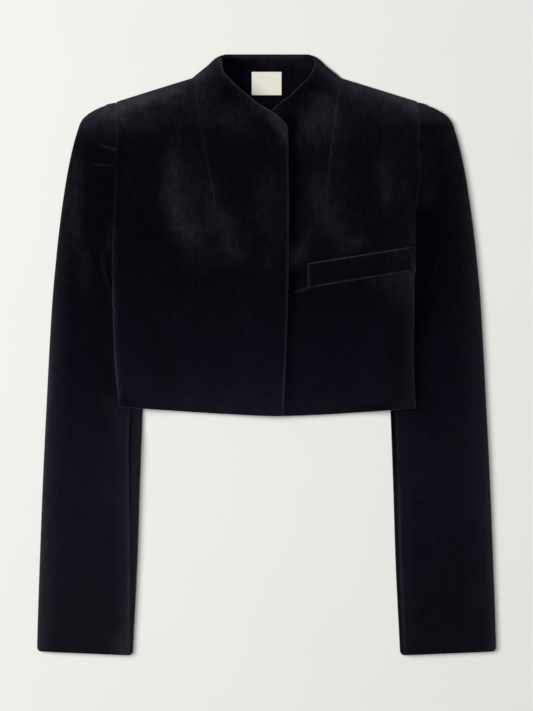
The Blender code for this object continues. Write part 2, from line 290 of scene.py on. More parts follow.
EVENLY_SPREAD = 0.6
ROLL_ANGLES = (60, 30, 0, -30, -60)


def spread(start, end, count):
    """Distances from start to end, one row for each, closer together near the ends."""
    share = np.linspace(0, 1, count)
    share = EVENLY_SPREAD * share + (1 - EVENLY_SPREAD) * ease(share, 0, 1)
    return start + (end - start) * share


def sew(name, face, inside, look):
    """A closed piece of cloth from two grids of points, its face and its inside, with a rounded edge."""
    rows, columns = face.shape[:2]
    face_at = np.arange(rows * columns).reshape(rows, columns)
    inside_at = face_at + rows * columns
    points = [face.reshape(-1, 3), inside.reshape(-1, 3)]
    quads = [
        np.stack((face_at[:-1, :-1], face_at[1:, :-1], face_at[1:, 1:], face_at[:-1, 1:]), -1).reshape(-1, 4),
        np.stack((inside_at[:-1, :-1], inside_at[:-1, 1:], inside_at[1:, 1:], inside_at[1:, :-1]),
                 -1).reshape(-1, 4),
    ]
    rim = np.concatenate((face_at[0, :-1], face_at[:-1, -1], face_at[-1, :0:-1], face_at[:0:-1, 0]))
    over, under = face.reshape(-1, 3)[rim], inside.reshape(-1, 3)[rim]
    middle, half = (over + under) / 2, (over - under) / 2
    along = np.roll(middle, -1, 0) - np.roll(middle, 1, 0)
    outward = np.cross(half, along)
    outward /= np.linalg.norm(outward, axis=1, keepdims=True) + 1e-9
    reach = outward * np.linalg.norm(half, axis=1, keepdims=True)
    loop, total = rim, 2 * rows * columns
    for angle in (*np.radians(ROLL_ANGLES), None):
        if angle is None:
            following = rim + rows * columns
        else:
            points.append(middle + reach * np.cos(angle) + half * np.sin(angle))
            following = np.arange(total, total + len(rim))
            total += len(rim)
        quads.append(np.stack((loop, np.roll(loop, -1), np.roll(following, -1), following), -1))
        loop = following
    mesh = bpy.data.meshes.new(name)
    mesh.from_pydata((np.concatenate(points) * MM).tolist(), [], np.concatenate(quads).tolist())
    mesh.validate()
    mesh.shade_smooth()
    piece = bpy.data.objects.new(name, mesh)
    bpy.context.collection.objects.link(piece)
    mesh.materials.append(look)
    return piece


# Strokes shape folds in the cloth and also paint light; glows paint highlights along edges, and painted shade
# where their strength is negative.
Stroke = namedtuple("Stroke", "half_width path")
EdgeLightPaint = namedtuple("EdgeLightPaint", "half_width line strength")
Blotches = namedtuple("Blotches", "amount size seed")
KNOTS = 160
KNOTS_START = (-400, -50)
SWAY_ACROSS = (Blotches(4, 24, seed=1), Blotches(2, 9, seed=2))
SWAY_DOWN = (Blotches(6, 28, seed=3), Blotches(2, 11, seed=4))
STROKE_BREAKS = (Blotches(0.3, 8, seed=5),)
LEVEL_BLOTCHES = (Blotches(0.09, 13, seed=6),)
# The brightest value: full painted highlight with brushed pile.
FULLY_BRUSHED_AND_LIT = 2.5


def stroked(x, drop, strokes):
    """How far the strokes lift a point: each is a soft band along a path of places, with a lift at each."""
    x, drop = np.broadcast_arrays(x, drop)
    lifted = np.zeros(x.shape)
    for stroke in strokes:
        nearest = np.full(x.shape, np.inf)
        lift = np.zeros(x.shape)
        for (x0, drop0, lift0), (x1, drop1, lift1) in zip(stroke.path, stroke.path[1:]):
            run_x, run_drop = x1 - x0, drop1 - drop0
            along = ((x - x0) * run_x + (drop - drop0) * run_drop) / (run_x ** 2 + run_drop ** 2)
            along = np.clip(along, 0, 1)
            away = np.hypot(x - x0 - along * run_x, drop - drop0 - along * run_drop)
            lift = np.where(away < nearest, lift0 + (lift1 - lift0) * along, lift)
            nearest = np.minimum(nearest, away)
        lifted += lift * np.exp(-(nearest / stroke.half_width) ** 2)
    return lifted


def mottle(x, drop, layers):
    """Soft blotches over the cloth in layers, each about one size apart, the same at every run."""
    mottled = 0.0
    for layer in layers:
        knots = np.random.default_rng(layer.seed).uniform(-1, 1, (KNOTS, KNOTS))
        across, down = (x - KNOTS_START[0]) / layer.size, (drop - KNOTS_START[1]) / layer.size
        i, j = np.floor(across).astype(int), np.floor(down).astype(int)
        s, t = ease(across - i, 0, 1), ease(down - j, 0, 1)
        upper = knots[i, j] * (1 - s) + knots[i + 1, j] * s
        lower = knots[i, j + 1] * (1 - s) + knots[i + 1, j + 1] * s
        mottled = mottled + layer.amount * (upper * (1 - t) + lower * t)
    return mottled


def paint_nap_and_light(piece, level, strokes, edge_light_paints=(), lines=()):
    """Paints the pile's vertex value: painted highlights, sheen and shade on the velvet, together with how
    far its nap leans.

    Its level changes down the piece, strokes of painted highlight and painted shade sway as a hand's do, edge
    glows paint highlights along edges, and lines paint highlights and shade along sewn or creased lines,
    which keep their place.
    """
    points = np.empty(3 * len(piece.data.vertices), np.float32)
    piece.data.vertices.foreach_get("co", points)
    x, y, _ = points.reshape(-1, 3).T / MM
    drop = COLLAR_Y - y
    # The sum below is painted highlights and painted shade, together with the nap of the pile.
    swayed_x, swayed_drop = x + mottle(x, drop, SWAY_ACROSS), drop + mottle(x, drop, SWAY_DOWN)
    pile = stroked(swayed_x, swayed_drop, strokes) * (1 + mottle(x, drop, STROKE_BREAKS))
    pile += level(drop) * (1 + mottle(x, drop, LEVEL_BLOTCHES)) + stroked(x, drop, lines)
    for edge_paint in edge_light_paints:
        pile += edge_paint.strength(drop) * np.exp(-((x - edge_paint.line(drop)) / edge_paint.half_width) ** 2)
    # Stored on the vertices for the velvet's colour: painted light and shade with the nap.
    nap_and_light_layer = piece.data.attributes.new("nap_and_painted_light", "FLOAT", "POINT")
    nap_and_light_layer.data.foreach_set("value", np.clip(pile, 0, FULLY_BRUSHED_AND_LIT).astype(np.float32))


def sewn_in(piece, node):
    """Fixes a piece in place of its solid and hides that solid."""
    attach(piece, "root")
    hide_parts(node)


# The velvet's colour runs from VELVET_DEEP, its darkest painted shade, to the brushed colours, its brightest
# painted highlights and sheen with brushed pile; the bluer brushed colour is used lower on the body.
VELVET_DEEP = (0.0008, 0.0006, 0.0022, 1)
VELVET_BRUSHED_AND_LIT = (0.0318, 0.0288, 0.0382, 1)
VELVET_COOL = (0.0318, 0.0291, 0.0480, 1)
VELVET_SHEEN = (0.80, 0.77, 0.86, 1)
CLOUDY = 0.75
STREAKY = 1.55
UNEVEN_ABOVE = 1.4
EVENER_BELOW = 0.85
EVENER_BRUSHED_AND_LIT = 0.28
WARMER_BRUSHED_AND_LIT = 0.5
WARMER_CUFFS = 0.4


def fading(value, start, end):
    """A share that goes softly from 0 at start to 1 at end."""
    return value.node("ShaderNodeMapRange", {"interpolation_type": "SMOOTHSTEP"},
                      {"Value": value, "From Min": start, "From Max": end})


velvet, wire = new_look("black_velvet")
place = wire.node("ShaderNodeTexCoord", {}, {}, "Object")
nap_and_painted_light = wire.node("ShaderNodeAttribute", {"attribute_name": "nap_and_painted_light"}, {}, "Fac")
cloud = noise(place, Scale=55.0, Detail=4.0, Roughness=0.65)
strands = wire.node("ShaderNodeMapping", {}, {"Vector": place, "Scale": (1.0, 0.4, 1.0)})
streak = noise(strands, Scale=230.0, Detail=3.0, Roughness=0.65)
pile = noise(place, Scale=1500.0, Detail=2.0)
up_the_body = wire.node("ShaderNodeSeparateXYZ", {}, {"Vector": place}, "Y")
cool = fading(up_the_body, start=0.16, end=0.0)
cuffs = fading(up_the_body, start=-0.22, end=-0.34)
blotchy = (cloud * CLOUDY + streak * STREAKY - (CLOUDY + STREAKY) / 2) * (UNEVEN_ABOVE - cool * EVENER_BELOW)
uneven = 1 + blotchy * (1 - nap_and_painted_light * EVENER_BRUSHED_AND_LIT)
cooled = cool * (1 - nap_and_painted_light * WARMER_BRUSHED_AND_LIT) * (1 - cuffs * WARMER_CUFFS)
brushed_and_lit = mixed(wire, cooled, VELVET_BRUSHED_AND_LIT, VELVET_COOL)
# Base colour: the vertex value paints highlights, sheen and shade between the deep and brushed colours,
# blotched at random.
set_shader(velvet, Base_Color=mixed(wire, nap_and_painted_light * uneven * (1 / FULLY_BRUSHED_AND_LIT), VELVET_DEEP, brushed_and_lit),
           Roughness=0.82 + pile * 0.16, Specular_IOR_Level=0.0,
           Sheen_Weight=0.38, Sheen_Roughness=0.36, Sheen_Tint=VELVET_SHEEN,
           Normal=bumped(pile, strength=0.18, distance=0.0004))

BACK_ROWS = 170
BACK_COLUMNS = 52
COLLAR_ROLL = 1.6
COLLAR_ROLL_DROPS = (20.0, 4.0)
COLLAR_LIP = 0.4
COLLAR_LIP_DROP = 3.0
# The back's level, neck strokes and edge lines paint light into its colour: painted shadow in the neck's left
# corner, painted highlights along the collar's top edge and the shoulder edges.
BACK_LEVEL = Measured((0, 0.7), (4, 0.5), (7, 0.36), (11, 0.3), (16, 0.19), (40, 0.15), (60, 0.13),
                      (430, 0.12), (446, 0.35), (460, 0.4))
BACK_NECK_STROKES = (
    Stroke(12, ((-50, 10, -0.4), (-41, 40, -0.3), (-22, 62, -0.1))),
    Stroke(7, ((-14, 14, 0), (-4, 14, 0.08), (10, 14, 0.1), (30, 13, 0.06), (50, 12, 0.08))),
    Stroke(7, ((-46, 10, -0.2), (-30, 11, -0.2), (-12, 12, -0.12), (2, 12, 0))),
)
BACK_EDGES = (
    Stroke(5, ((-194, 62, 1.6), (-150, 48, 1.2), (-96, 31, 1.0), (-86, 24, 0.6))),
    Stroke(5, ((194, 62, 1.6), (150, 48, 1.2), (96, 31, 0.6), (86, 24, 0.4))),
    Stroke(2.0, ((-46, 2.6, 0.3), (-30, 2.4, 0.6), (-10, 2.4, 0.5), (20, 2.4, 0.5), (46, 2.6, 0.4))),
)

drops = spread(TURNED_EDGE, HEM_SIDE - TURNED_EDGE, BACK_ROWS)[:, None]
halves = {side: spread(0.0, body_edge(side, drops) - TURNED_EDGE, BACK_COLUMNS) for side in SIDES}
x = np.concatenate((-halves["right"][:, :0:-1], halves["left"]), axis=1)
drop = hem_drop(x, drops)
inner = back_inside(x, drops)
lip = 1 - COLLAR_LIP * ease(drops, COLLAR_LIP_DROP, 0)
collar_roll = COLLAR_ROLL * ease(drops, *COLLAR_ROLL_DROPS) * lip
back = sew("back_panel", points_at(x, drop, inner + collar_roll), points_at(x, drop, inner - CLOTH), velvet)
paint_nap_and_light(back, BACK_LEVEL, BACK_NECK_STROKES, lines=BACK_EDGES)
sewn_in(back, node="back")


# The label: a cream woven tape, folded under at its ends and sewn to the back's inside below the
# collar. It stays blank.

LABEL_WIDTH = 38.0
LABEL_HEIGHT = 29.5
LABEL_DROP = 22.0
LABEL_WALL = 0.8
LABEL_CLEAR = 0.3
LABEL_ROWS = 32
LABEL_COLUMNS = 40
LABEL_SAG = 0.25
LABEL_SAG_WAVE = 7.5
LABEL_SAG_START = 0.6
LABEL_FOLD = 0.35
FOLD_FROM_END = (4.0, 2.5)
# The tape's own tones, cream and a duller cream, mixed by weave and soil.
LABEL_CREAM = (0.80, 0.78, 0.70, 1)
LABEL_DULL_CREAM = (0.70, 0.675, 0.59, 1)
LABEL_PAINTED_SHADOW = (0.50, 0.48, 0.43, 1)
LABEL_SHADOW_SLANT = 0.8
WEAVE_SHOWS = 0.35
SOIL_SHOWS = 0.4


def threads(place, direction, scale):
    """Threads beside one another, from 0 to 1 across each."""
    return place.node("ShaderNodeTexWave", {"bands_direction": direction},
                      {"Vector": place, "Scale": scale, "Distortion": 0.6}, "Fac")


tape, wire = new_look("cream_woven_tape")
place = wire.node("ShaderNodeTexCoord", {}, {}, "Object")
weave = threads(place, "X", 620.0) * 0.5 + threads(place, "Y", 480.0) * 0.5
soil = noise(place, Scale=120.0, Detail=3.0)
sideways, upward = (wire.node("ShaderNodeSeparateXYZ", {}, {"Vector": place}, axis) for axis in "XY")
# A painted shadow darkens the label towards its lower left.
painted_shadow = fading(upward + sideways * LABEL_SHADOW_SLANT, start=0.345, end=0.314)
woven = mixed(wire, weave * WEAVE_SHOWS + soil * SOIL_SHOWS, LABEL_CREAM, LABEL_DULL_CREAM)
set_shader(tape, Base_Color=mixed(wire, painted_shadow, woven, LABEL_PAINTED_SHADOW),
           Roughness=0.62 + weave * 0.15, Specular_IOR_Level=0.2, Sheen_Weight=0.05,
           Normal=bumped(weave, strength=0.25, distance=0.0002))

half_width = (LABEL_WIDTH - LABEL_WALL) / 2
half_height = (LABEL_HEIGHT - LABEL_WALL) / 2
x = np.linspace(-half_width, half_width, LABEL_COLUMNS)[None, :]
from_middle = np.linspace(-half_height, half_height, LABEL_ROWS)[:, None]
drops = LABEL_DROP + LABEL_HEIGHT / 2 + from_middle
loose = ease(drops, LABEL_DROP + FOLD_FROM_END[0], LABEL_DROP + LABEL_HEIGHT)
sag = LABEL_SAG * np.sin(x / LABEL_SAG_WAVE + LABEL_SAG_START) * loose
fold = LABEL_FOLD * ease(np.abs(from_middle), *(LABEL_HEIGHT / 2 - inset for inset in FOLD_FROM_END))
under = CLOTH + SEAM_GAP + LABEL_CLEAR + sag
label = sew("neck_label", points_at(x, drops, under + LABEL_WALL + fold), points_at(x, drops, under), tape)
sewn_in(label, node="label")


# The fronts: two pieces of velvet, each with its half of the stand collar and a dart from the neck
# to the bust. The right one laps over the left, and both are sewn to the back at shoulder and side.

UNDERLAP = 12.0
LAP_LIFT = 2.3
LAP_SLOPE = (-40.0, -16.0)
ARMHOLE_LOFT = 7.0
NECK_RISE = 3.5
NECK_RISE_DROPS = (68.0, 40.0)
NECK_RISE_WIDTH = 26.0
SIDE_ROLL = 60.0
SIDE_ROLL_FULLNESS = 0.9
FRONT_TURNINGS = 0.2
NECKLINE = {
    "right": Measured((4, -57.5), (12, -56.5), (21, -54.5), (36, -42.5), (54, -22), (63, -11), (76, 10),
                      (85, 20.5), (93, 26.3), (107, 27.2), (130, 27.4), (206, 28.2), (267, 27.6),
                      (307, 26.9), (348, 25.9), (389, 24.3), (429, 22.4), (HEM_LOWEST, 21.3)),
    "left": Measured((4, -59), (10, -62), (13, -61), (22.5, -57.5), (34, -49.5), (42, -40.5), (54, -28.5),
                     (61, -19), (71, -7), (80, 5), (90, UNDERLAP), (HEM_LOWEST, UNDERLAP)),
}
BODY_LOFT = Measured((0, 3), (NECK_POINT, 6), (85, 10), (121, 12), (156, 13), (190, 13), (235, 12.5),
                     (300, 10), (380, 8), (HEM_LOWEST, 7.5))
DART_LINE = {
    "right": Measured((0, 94), (NECK_POINT, 91.5), (85, 86), (121, 78.5), (156, 72), (190, 66), (235, 63),
                      (460, 63)),
    "left": Measured((0, 94.5), (36, 92), (66, 88), (110, 83), (156, 78), (180, 75.5), (235, 73),
                     (460, 73)),
}
CHEST_FOLDS = (
    Stroke(19, ((-121, 100, 0), (-119, 135, 1.6), (-117, 186, 2.4), (-106, 220, 2.6), (-90, 247, 1.6),
                (-72, 275, 0))),
    Stroke(15, ((-68, 160, 0), (-62, 200, 1.4), (-50, 226, 2.0), (-38, 252, 0))),
    Stroke(17, ((68, 150, 0), (73, 194, 1.6), (84, 220, 1.8), (112, 242, 0.8), (126, 250, 0))),
    Stroke(12, ((149, 108, 0), (149, 150, 1.4), (150, 185, 1.2), (151, 212, 0))),
    Stroke(11, ((-16, 64, 0), (4, 84, 0.8), (20, 106, 0.8), (24, 130, 0))),
    Stroke(18, ((50, 106, 0), (66, 84, 1.2), (86, 58, 0.8))),
    Stroke(10, ((36, 268, 0), (46, 250, 1.0), (60, 232, 0))),
    Stroke(24, ((-160, 235, 0), (-130, 290, -0.7), (-95, 345, 0))),
    Stroke(30, ((-130, 330, 0), (-85, 370, 0.6), (-40, 405, 0))),
    Stroke(26, ((80, 325, 0), (120, 360, 0.6), (160, 400, 0))),
)


def armhole_loft(drop):
    """Hollow at the body's outer edge: a lens along the armhole, closed at shoulder and side seams."""
    along = np.clip((drop - SHOULDER_END) / (UNDERARM - SHOULDER_END), 0, 1)
    return SEAM_GAP + ARMHOLE_LOFT * np.sin(np.pi * along)


def neck_rise(x, drop):
    """How far the neckline's edge stands up, fading out towards the lap."""
    away = np.abs(x) + by_side(lambda side, at: NECKLINE[side](at), x, drop)
    return NECK_RISE * ease(drop, *NECK_RISE_DROPS) * ease(away, NECK_RISE_WIDTH, 0)


def front_inside(x, drop):
    """Height of a front's inner face above the board."""
    edge = armhole_loft(drop)
    inset = by_side(body_edge, x, drop) - np.abs(x)
    roll = np.sin(np.pi / 2 * np.clip(inset / SIDE_ROLL, 0, 1)) ** SIDE_ROLL_FULLNESS
    loft = edge + (BODY_LOFT(drop) + neck_rise(x, drop) - edge) * roll
    return back_inside(x, drop) + np.maximum(SEAM_GAP, loft + stroked(x, drop, CHEST_FOLDS) * roll)


Groove = namedtuple("Groove", "depth half_width")
DART_GROOVES = (Groove(0.55, 7.0), Groove(0.9, 1.5))
DART_STARTS = (24.0, 36.0)
DART_FADES = (196.0, 150.0)


def dart(side, x, drop):
    """The dart's stitched line: a narrow groove in a shallow trough, both fading out at its point."""
    across = np.abs(np.abs(x) - DART_LINE[side](drop))
    shown = ease(drop, *DART_STARTS) * ease(drop, *DART_FADES)
    return shown * sum(groove.depth * np.exp(-(across / groove.half_width) ** 2) for groove in DART_GROOVES)


FRONT_ROWS = np.concatenate((spread(5.0, 239.0, 104), np.arange(240.5, 306.0, 1.5),
                             spread(307.5, HEM_SIDE - TURNED_EDGE, 62)))
NECK_COLUMNS = 46
DART_COLUMNS = 15
SIDE_COLUMNS = 52
NECK_SHARE = 0.3
SIDE_SHARE = 0.25
DART_BAND = 5.0
DART_BAND_SHARE = 0.05


def front_panel(side, lap):
    """A front's cloth. Its rows are closest by the underarm's creases, its columns by the dart."""
    sign = SIDES[side]
    drops = FRONT_ROWS[:, None]
    reach = NECKLINE[side](drops) - TURNED_EDGE
    edge = body_edge(side, drops) - TURNED_EDGE
    width = edge + reach
    seam = np.clip(DART_LINE[side](drops), NECK_SHARE * width - reach, edge - SIDE_SHARE * width)
    near = np.minimum(DART_BAND, DART_BAND_SHARE * width)
    distance = np.concatenate((spread(-reach, seam - near, NECK_COLUMNS)[:, :-1],
                               seam + near * np.linspace(-1, 1, DART_COLUMNS),
                               spread(seam + near, edge, SIDE_COLUMNS)[:, 1:]), axis=1)
    x = sign * (distance if sign > 0 else distance[:, ::-1])
    inner = front_inside(x, drops)
    if lap:
        inner = inner + LAP_LIFT * ease(x, *LAP_SLOPE)
    height = inner + CLOTH - dart(side, x, drops)
    drop = hem_drop(x, drops)
    inside = points_at(x, drop, inner - FRONT_TURNINGS)
    return sew("front_" + side + "_panel", points_at(x, drop, height), inside, velvet)


# These tables paint light and shade into the fronts' colour, with the nap: levels down each front, painted
# sheen highlights on the shoulders, chest folds and dart ends, painted shade where a lift is negative,
# painted highlight and shade by the neck, and painted highlights along the neckline, sides and darts.
FRONT_LEVEL = {
    "right": Measured((0, 0.38), (40, 0.32), (60, 0.28), (80, 0.23), (105, 0.15), (130, 0.115), (232, 0.10),
                      (255, 0.13), (285, 0.15), (315, 0.185), (345, 0.22), (372, 0.24), (398, 0.27),
                      (424, 0.36), (440, 0.44), (460, 0.55)),
    "left": Measured((0, 0.38), (40, 0.30), (60, 0.25), (80, 0.20), (105, 0.17), (130, 0.13), (182, 0.12),
                     (207, 0.17), (240, 0.17), (270, 0.13), (310, 0.14), (335, 0.18), (372, 0.21),
                     (398, 0.24), (424, 0.28), (440, 0.33), (460, 0.42)),
}
FRONT_STROKES = {
    "right": (
        Stroke(15, ((-194, 62, 2.4), (-180, 57, 2.0), (-165, 53, 1.0), (-150, 48, 0))),
        Stroke(9, ((-172, 55, 0.2), (-160, 51, 1.5), (-140, 45, 1.5), (-120, 38, 1.4), (-96, 31, 1.2),
                   (-80, 19, 0.9), (-66, 8, 0.5))),
        Stroke(30, ((-194, 62, 0.7), (-165, 53, 0.4), (-140, 45, 0.4), (-96, 31, 0.45))),
        Stroke(15, ((-119, 108, 0), (-118, 141, 0.32), (-118, 169, 0.50), (-116.5, 186, 0.58),
                    (-112.7, 202, 0.54), (-106, 220, 0.60), (-100, 232, 0.48), (-92, 245, 0.28),
                    (-80, 260, 0))),
        Stroke(30, ((-100, 112, 0.05), (-94, 160, 0.22), (-84, 215, 0.24), (-70, 258, 0.1), (-62, 280, 0))),
        Stroke(14, ((-68, 150, 0), (-68, 175, 0.14), (-66, 195, 0.22), (-59, 206, 0.30), (-51, 225, 0.42),
                    (-46, 240, 0.42), (-40, 255, 0.3), (-33, 270, 0))),
        Stroke(10, ((-22, 58, 0.1), (-10, 68, 0.35), (6, 82, 0.5), (19, 98, 0.6), (23, 112, 0.4),
                    (25, 128, 0))),
        Stroke(16, ((-72, 74, 0.05), (-54, 78, 0.2), (-36, 82, 0.26), (-24, 94, 0.04))),
        Stroke(10, ((-97, 30, 0.1), (-95, 48, 0.2), (-93, 70, 0.1), (-92, 84, 0))),
        Stroke(12, ((-162, 72, 0.1), (-156, 80, 0.24), (-148, 90, 0))),
        Stroke(24, ((6, 130, 0), (4, 165, 0.2), (2, 202, 0.24), (6, 240, 0.14), (10, 268, 0.08),
                    (12, 300, 0))),
        Stroke(15, ((-76, 20, -0.1), (-66, 28, -0.24), (-52, 48, -0.24), (-34, 70, -0.16), (-20, 88, 0))),
        Stroke(10, ((-187, 449, -0.2), (-170, 451, -0.24), (-150, 453, -0.2), (-136, 454, -0.12),
                    (-122, 455, 0))),
    ),
    "left": (
        Stroke(13, ((194, 62, 2.5), (150, 48, 2.2), (122, 39, 1.4), (96, 31, 0.55))),
        Stroke(7, ((100, 32, 0.3), (78, 17, 0.7), (66, 8, 0.4))),
        Stroke(30, ((194, 62, 0.6), (150, 48, 0.4), (96, 31, 0.25))),
        Stroke(20, ((50, 110, 0.2), (60, 98, 0.5), (70, 80, 0.74), (70, 62, 0.45), (78, 48, 0))),
        Stroke(20, ((92, 70, 0), (90, 95, 0.12), (89, 140, 0.15), (92, 175, 0.1), (94, 200, 0))),
        Stroke(22, ((165, 95, 0), (165, 120, 0.12), (165, 170, 0.12), (165, 210, 0))),
        Stroke(13, ((120, 296, 0), (148, 288, 0.2), (170, 285, 0.3), (186, 282, 0.25))),
        Stroke(16, ((172, 235, 0), (168, 265, 0.1), (168, 290, 0.15), (172, 312, 0.2), (178, 335, 0))),
        Stroke(9, ((149, 112, 0), (149, 140, 0.2), (149, 165, 0.34), (150, 185, 0.26), (150, 204, 0))),
        Stroke(17, ((62, 140, 0), (66, 165, 0.28), (72, 194, 0.48), (78, 212, 0.38), (92, 224, 0.32),
                    (108, 238, 0.14), (120, 248, 0))),
        Stroke(9, ((92, 250, 0.1), (106, 247, 0.28), (118, 240, 0.2), (136, 228, 0))),
        Stroke(9, ((31, 266, 0.2), (39, 254, 0.4), (47, 246, 0.4), (51, 232, 0.24), (57, 218, 0))),
        Stroke(16, ((68, 18, -0.12), (58, 42, -0.22), (44, 58, -0.18), (34, 72, -0.1))),
        Stroke(14, ((172, 130, 0), (174, 160, 0.08), (176, 200, 0.06), (178, 240, 0.05), (178, 255, 0))),
        Stroke(10, ((100, 453, 0), (118, 453, -0.16), (144, 452, -0.18), (160, 450, 0))),
    ),
}
FRONT_LINES = {
    "right": (
        Stroke(5.5, ((-7, 66, 0), (1.6, 71, 0.28), (6.7, 76, 0.58), (11.5, 81, 0.72), (16.5, 86.5, 0.68),
                     (20.5, 93, 0.48), (22, 103, 0.3), (22, 110, 0.05), (22, 114, 0))),
        Stroke(7, ((-12, 75, 0), (-3.4, 81, -0.2), (1.7, 88, -0.32), (6.7, 95, -0.36), (11, 102, -0.24),
                   (14, 111, -0.08), (15, 118, 0))),
        Stroke(7, ((-186, 96, 0), (-186, 108, -0.1), (-187, 140, -0.05), (-188, 165, 0))),
    ),
    "left": (
        # A painted shadow beside the right front's lapped edge.
        Stroke(9, ((30, 90, -0.3), (30, 225, -0.22), (30, 250, -0.06), (30, 268, -0.06), (30, 285, -0.2),
                   (29, 330, -0.12), (27, 400, -0.1), (25, 458, -0.05))),
        Stroke(1.5, ((35, 304, 0), (40, 301.5, 0.6), (53, 297, 0.8))),
    ),
}
FRONT_EDGE_LIGHT_PAINTS = {
    "right": (
        EdgeLightPaint(2.2, NECKLINE["right"],
             Measured((4, 0.9), (14, 1.5), (23, 1.2), (36, 1.1), (60, 1.1), (85, 1.1), (105, 0.95),
                      (130, 0.7), (206, 0.75), (300, 0.75), (389, 0.8), (430, 1.2), (458, 0.7))),
        EdgeLightPaint(5.0, lambda drop: NECKLINE["right"](drop) - 4,
             Measured((3, 0.3), (10, 0.55), (18, 0.45), (30, 0.1), (40, 0))),
        EdgeLightPaint(1.6, lambda drop: -body_edge("right", drop),
             Measured((70, 0.5), (105, 0.36), (117, 0.1), (140, 0.06), (152, 0.28), (210, 0.2), (226, 0.5),
                      (272, 0.6), (302, 0.6), (348, 0.8), (394, 1.1), (409, 1.6), (434, 1.0), (446, 0))),
        EdgeLightPaint(5.0, lambda drop: -body_edge("right", drop),
             Measured((70, 0.06), (105, 0), (145, 0), (160, 0.1), (210, 0.1), (226, 0.25), (272, 0.3),
                      (302, 0.33), (348, 0.36), (394, 0.35), (432, 0.25), (444, 0))),
        EdgeLightPaint(1.3, lambda drop: -DART_LINE["right"](drop),
             Measured((22, 0), (38, 0.18), (85, 0.18), (121, 0.22), (156, 0.34), (185, 0.46), (200, 0))),
    ),
    "left": (
        EdgeLightPaint(2.0, lambda drop: -NECKLINE["left"](drop), Measured((4, 0.5), (36, 0.6), (63, 0.8), (85, 0))),
        EdgeLightPaint(1.6, lambda drop: body_edge("left", drop),
             Measured((70, 0.5), (110, 0.3), (240, 0.3), (280, 0.4), (448, 0.4))),
        EdgeLightPaint(10.0, lambda drop: body_edge("left", drop),
             Measured((200, 0.06), (250, 0.36), (290, 0.62), (325, 0.5), (360, 0.36), (448, 0.3))),
        EdgeLightPaint(1.6, DART_LINE["left"],
             Measured((26, 0), (60, 0.34), (110, 0.32), (150, 0.34), (172, 0.28), (186, 0))),
    ),
}

front_left = front_panel("left", lap=False)
front_right = front_panel("right", lap=True)
for side, front in (("left", front_left), ("right", front_right)):
    paint_nap_and_light(front, FRONT_LEVEL[side], FRONT_STROKES[side], FRONT_EDGE_LIGHT_PAINTS[side], FRONT_LINES[side])
sewn_in(front_left, node="front_left")
sewn_in(front_right, node="front_right")


# The welt: a slanting strip of velvet, folded along its top edge, pressed thin all round and sewn to
# the left front below the bust. It ends just short of the side seam.

WELT_INNER_X = 52.0
WELT_TOP = (266.0, 245.0)
WELT_FOOT = (297.0, 275.5)
WELT_HEIGHT = 31.0
WELT_LENGTH = 133.0
WELT_SIDE_INSET = 5.0
WELT_CLEAR = 0.3
WELT_ROWS = 26
WELT_COLUMNS = 110
WELT_EDGE = 0.4
WELT_RISE = 1.2
WELT_PRESSED = 3.5
WELT_CROWN = 0.5
WELT_RIPPLE = 0.1
WELT_RIPPLES = 9
# The welt's lines paint highlights along its top, its ends and its foot; its stroke is a painted sheen
# highlight.
WELT_LEVEL = Measured((0, 0.17), (HEM_LOWEST, 0.17))
WELT_EDGES = (
    Stroke(1.4, ((52, 266, 1.2), (62, 264.4, 1.7), (100, 258.4, 2.2), (140, 252, 1.8), (176, 246.4, 1.9),
                 (185, 245, 0.7))),
    Stroke(1.4, ((52.5, 266, 0.7), (53, 297, 0.75))),
    Stroke(1.4, ((53, 297, 0.8), (64, 295.2, 1.2), (80, 292.6, 2.1), (120, 286, 2.1), (185, 275.5, 2.0))),
    Stroke(1.4, ((184, 249, 0.1), (184, 255, 0.7), (184, 270, 0.6), (184, 274, 0.2))),
)
WELT_STROKES = (
    Stroke(18, ((140, 266, 0), (165, 263, 0.12), (186, 260, 0.16))),
)

down = spread(0.006, 0.994, WELT_ROWS)[:, None]
along = spread(0.002, 0.998, WELT_COLUMNS)[None, :]
top, foot = (near + (far - near) * along for near, far in (WELT_TOP, WELT_FOOT))
drop = top * (1 - down) + foot * down
x = WELT_INNER_X + (body_edge("left", drop) - WELT_SIDE_INSET - WELT_INNER_X) * along
under = front_inside(x, drop) + CLOTH + WELT_CLEAR
from_edge = np.minimum(WELT_HEIGHT * np.minimum(down, 1 - down), WELT_LENGTH * np.minimum(along, 1 - along))
pressed = WELT_EDGE + WELT_RISE * np.sin(np.pi / 2 * np.clip(from_edge / WELT_PRESSED, 0, 1))
puffed = pressed + WELT_CROWN * np.sin(np.pi * down) + WELT_RIPPLE * np.sin(along * WELT_RIPPLES)
welt = sew("breast_welt", points_at(x, drop, under + puffed), points_at(x, drop, under), velvet)
paint_nap_and_light(welt, WELT_LEVEL, WELT_STROKES, lines=WELT_EDGES)
sewn_in(welt, node="welt")


# The sleeves: each an upper piece with the sleeve head and an under piece, sewn into a tube. They
# lie pressed flat, open to the armhole, and are tucked under the body's sides below it.

